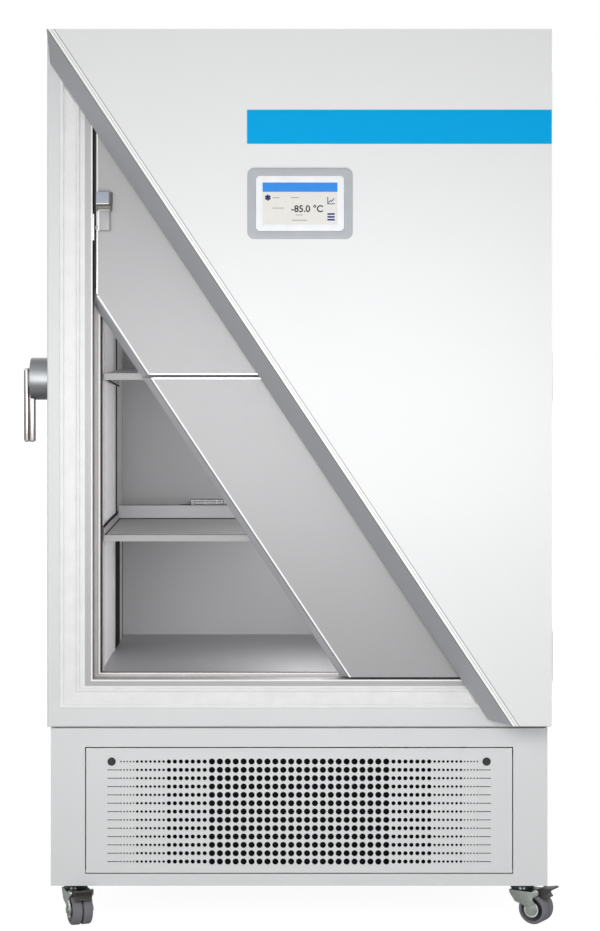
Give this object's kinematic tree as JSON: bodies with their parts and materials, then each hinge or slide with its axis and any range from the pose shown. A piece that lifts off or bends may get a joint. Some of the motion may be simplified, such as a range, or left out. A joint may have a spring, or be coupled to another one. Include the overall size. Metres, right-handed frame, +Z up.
{
  "type": "ultra low temperature freezer",
  "caption": "Upright laboratory freezer on castors, shown with its outer and inner doors cut open on a slope to reveal the insulated chamber, shelves and gaskets.",
  "frame": {"origin": "on the floor, under the middle of the whole part's box in plan", "axes": "+X to the right as seen from the front, +Y to the back, +Z up; the doors face -Y"},
  "size_m": [1.1932, 0.933, 1.981],
  "materials": {
    "white_paint": "satin powder coat",
    "grey_section": "matt",
    "foam": "rigid foam",
    "stainless": "brushed",
    "handle_metal": "fine brushed",
    "zinc": "bright zinc plate",
    "white_plastic": "smooth",
    "grey_plastic": "fine grained",
    "display_face": "lit screen",
    "seal_rubber": "soft",
    "black_rubber": "matt",
    "wheel_grey": "matt tread",
    "black_paint": "satin",
    "black_plastic": "matt",
    "copper": "drawn copper",
    "fin_aluminium": "plain",
    "filter_fibre": "fibre mat"
  },
  "bodies": {
    "cabinet": {"cabinet_shell": "white_paint", "cabinet_foam": "foam", "cabinet_liner": "stainless", "breaker_frame": "white_plastic", "evaporator_coil": "copper", "rear_panel": "white_paint", "shelves": "stainless", "shelf_supports": "stainless", "sensor_guard": "stainless", "handle_boss": "handle_metal", "outer_hinge_cabinet_leaves": "stainless", "inner_door_frame_fittings": "stainless", "base_frame": "white_paint", "base_panels": "white_paint", "base_front_frame": "white_paint", "filter_mat": "filter_fibre", "power_entry": "black_plastic", "condenser": "fin_aluminium", "fan_mount": "black_paint", "compressors": "black_paint", "compressor_grommets": "black_rubber", "refrigerant_circuit": "copper", "electrics_box": "white_paint", "castor_plates": "zinc"},
    "outer_door": {"outer_door_skin": "white_paint", "outer_door_foam": "foam", "outer_door_section_cover": "grey_section", "outer_door_gasket": "seal_rubber", "outer_hinge_door_leaves": "stainless", "display_bezel": "grey_plastic", "display_screen": "display_face", "display_module": "white_plastic"},
    "upper_inner_door": {"upper_inner_door_skin": "stainless", "upper_inner_door_foam": "foam", "upper_inner_door_section_cover": "grey_section", "upper_inner_door_gasket": "seal_rubber", "upper_inner_door_fittings": "grey_plastic"},
    "lower_inner_door": {"lower_inner_door_skin": "stainless", "lower_inner_door_foam": "foam", "lower_inner_door_section_cover": "grey_section", "lower_inner_door_gasket": "seal_rubber", "lower_inner_hinge_leaves": "stainless"},
    "inner_latch": {"inner_latch_plate": "grey_plastic"},
    "handle": {"handle_lever": "handle_metal"},
    "grille_door": {"grille_panel": "white_paint"},
    "grille_lock_left": {"grille_lock_left": "black_plastic"},
    "grille_lock_right": {"grille_lock_right": "black_plastic"},
    "fan": {"fan_wheel": "black_plastic"},
    "power_rocker": {"power_rocker": "black_plastic"},
    "castor_fork_front_left": {"castor_fork_front_left": "zinc"},
    "castor_wheel_front_left": {"castor_wheel_front_left": "wheel_grey"},
    "brake_pedal_front_left": {"brake_pedal_front_left": "black_plastic"},
    "castor_fork_front_right": {"castor_fork_front_right": "zinc"},
    "castor_wheel_front_right": {"castor_wheel_front_right": "wheel_grey"},
    "brake_pedal_front_right": {"brake_pedal_front_right": "black_plastic"},
    "castor_fork_rear_left": {"castor_fork_rear_left": "zinc"},
    "castor_wheel_rear_left": {"castor_wheel_rear_left": "wheel_grey"},
    "castor_fork_rear_right": {"castor_fork_rear_right": "zinc"},
    "castor_wheel_rear_right": {"castor_wheel_rear_right": "wheel_grey"}
  },
  "joints": [
    {"name": "outer_door_hinge", "type": "hinge", "parent": "cabinet", "child": "outer_door", "pos_m": [0.5723, -0.3755, 1.21875], "axis": [0, 0, 1], "range_deg": [0, 110]},
    {"name": "upper_inner_door_hinge", "type": "hinge", "parent": "cabinet", "child": "upper_inner_door", "pos_m": [0.4713, -0.3695, 1.542], "axis": [0, 0, 1], "range_deg": [0, 95]},
    {"name": "lower_inner_door_hinge", "type": "hinge", "parent": "cabinet", "child": "lower_inner_door", "pos_m": [0.4713, -0.3695, 0.887], "axis": [0, 0, 1], "range_deg": [0, 95]},
    {"name": "inner_latch_pivot", "type": "hinge", "parent": "upper_inner_door", "child": "inner_latch", "pos_m": [-0.41469, -0.3745, 1.594], "axis": [-1, 0, 0], "range_deg": [0, 60]},
    {"name": "handle_pivot", "type": "hinge", "parent": "cabinet", "child": "handle", "pos_m": [-0.5862, -0.3135, 1.2127], "axis": [-1, 0, 0], "range_deg": [0, 90]},
    {"name": "grille_door_hinge", "type": "hinge", "parent": "cabinet", "child": "grille_door", "pos_m": [0.01731, -0.3695, 0.1238], "axis": [1, 0, 0], "range_deg": [0, 75]},
    {"name": "fan_spin", "type": "hinge", "parent": "cabinet", "child": "fan", "pos_m": [-0.21269, -0.1975, 0.24025], "axis": [0, 1, 0], "continuous": true},
    {"name": "power_rocker_pivot", "type": "hinge", "parent": "cabinet", "child": "power_rocker", "pos_m": [0.4173, 0.4415, 0.247], "axis": [1, 0, 0], "range_deg": [-12, 12]},
    {"name": "grille_lock_left_turn", "type": "hinge", "parent": "grille_door", "child": "grille_lock_left", "pos_m": [-0.3977, -0.3735, 0.3665], "axis": [0, 1, 0], "range_deg": [0, 90]},
    {"name": "grille_lock_right_turn", "type": "hinge", "parent": "grille_door", "child": "grille_lock_right", "pos_m": [0.4323, -0.3735, 0.3665], "axis": [0, 1, 0], "range_deg": [0, 90]},
    {"name": "front_left_swivel", "type": "hinge", "parent": "cabinet", "child": "castor_fork_front_left", "pos_m": [-0.48269, -0.3135, 0.081], "axis": [0, 0, 1], "continuous": true},
    {"name": "front_left_roll", "type": "hinge", "parent": "castor_fork_front_left", "child": "castor_wheel_front_left", "pos_m": [-0.47107, -0.34545, 0.0335], "axis": [0.9397, 0.342, 0], "continuous": true},
    {"name": "front_left_brake_pedal", "type": "hinge", "parent": "castor_fork_front_left", "child": "brake_pedal_front_left", "pos_m": [-0.46696, -0.35673, 0.072], "axis": [0.9397, 0.342, 0], "range_deg": [0, 10]},
    {"name": "front_right_swivel", "type": "hinge", "parent": "cabinet", "child": "castor_fork_front_right", "pos_m": [0.51731, -0.3135, 0.081], "axis": [0, 0, 1], "continuous": true},
    {"name": "front_right_roll", "type": "hinge", "parent": "castor_fork_front_right", "child": "castor_wheel_front_right", "pos_m": [0.54614, -0.33152, 0.0335], "axis": [0.5299, 0.848, 0], "continuous": true},
    {"name": "front_right_brake_pedal", "type": "hinge", "parent": "castor_fork_front_right", "child": "brake_pedal_front_right", "pos_m": [0.55632, -0.33788, 0.072], "axis": [0.5299, 0.848, 0], "range_deg": [0, 10]},
    {"name": "rear_left_swivel", "type": "hinge", "parent": "cabinet", "child": "castor_fork_rear_left", "pos_m": [-0.48269, 0.3865, 0.081], "axis": [0, 0, 1], "continuous": true},
    {"name": "rear_left_roll", "type": "hinge", "parent": "castor_fork_rear_left", "child": "castor_wheel_rear_left", "pos_m": [-0.49432, 0.41845, 0.0335], "axis": [-0.9397, -0.342, 0], "continuous": true},
    {"name": "rear_right_swivel", "type": "hinge", "parent": "cabinet", "child": "castor_fork_rear_right", "pos_m": [0.51731, 0.3865, 0.081], "axis": [0, 0, 1], "continuous": true},
    {"name": "rear_right_roll", "type": "hinge", "parent": "castor_fork_rear_right", "child": "castor_wheel_rear_right", "pos_m": [0.53327, 0.41652, 0.0335], "axis": [-0.8829, 0.4695, 0], "continuous": true}
  ],
  "couplings": [
    {"joint": "upper_inner_door_hinge", "follows": "outer_door_hinge", "ratio": 0.8636},
    {"joint": "lower_inner_door_hinge", "follows": "outer_door_hinge", "ratio": 0.8636}
  ]
}
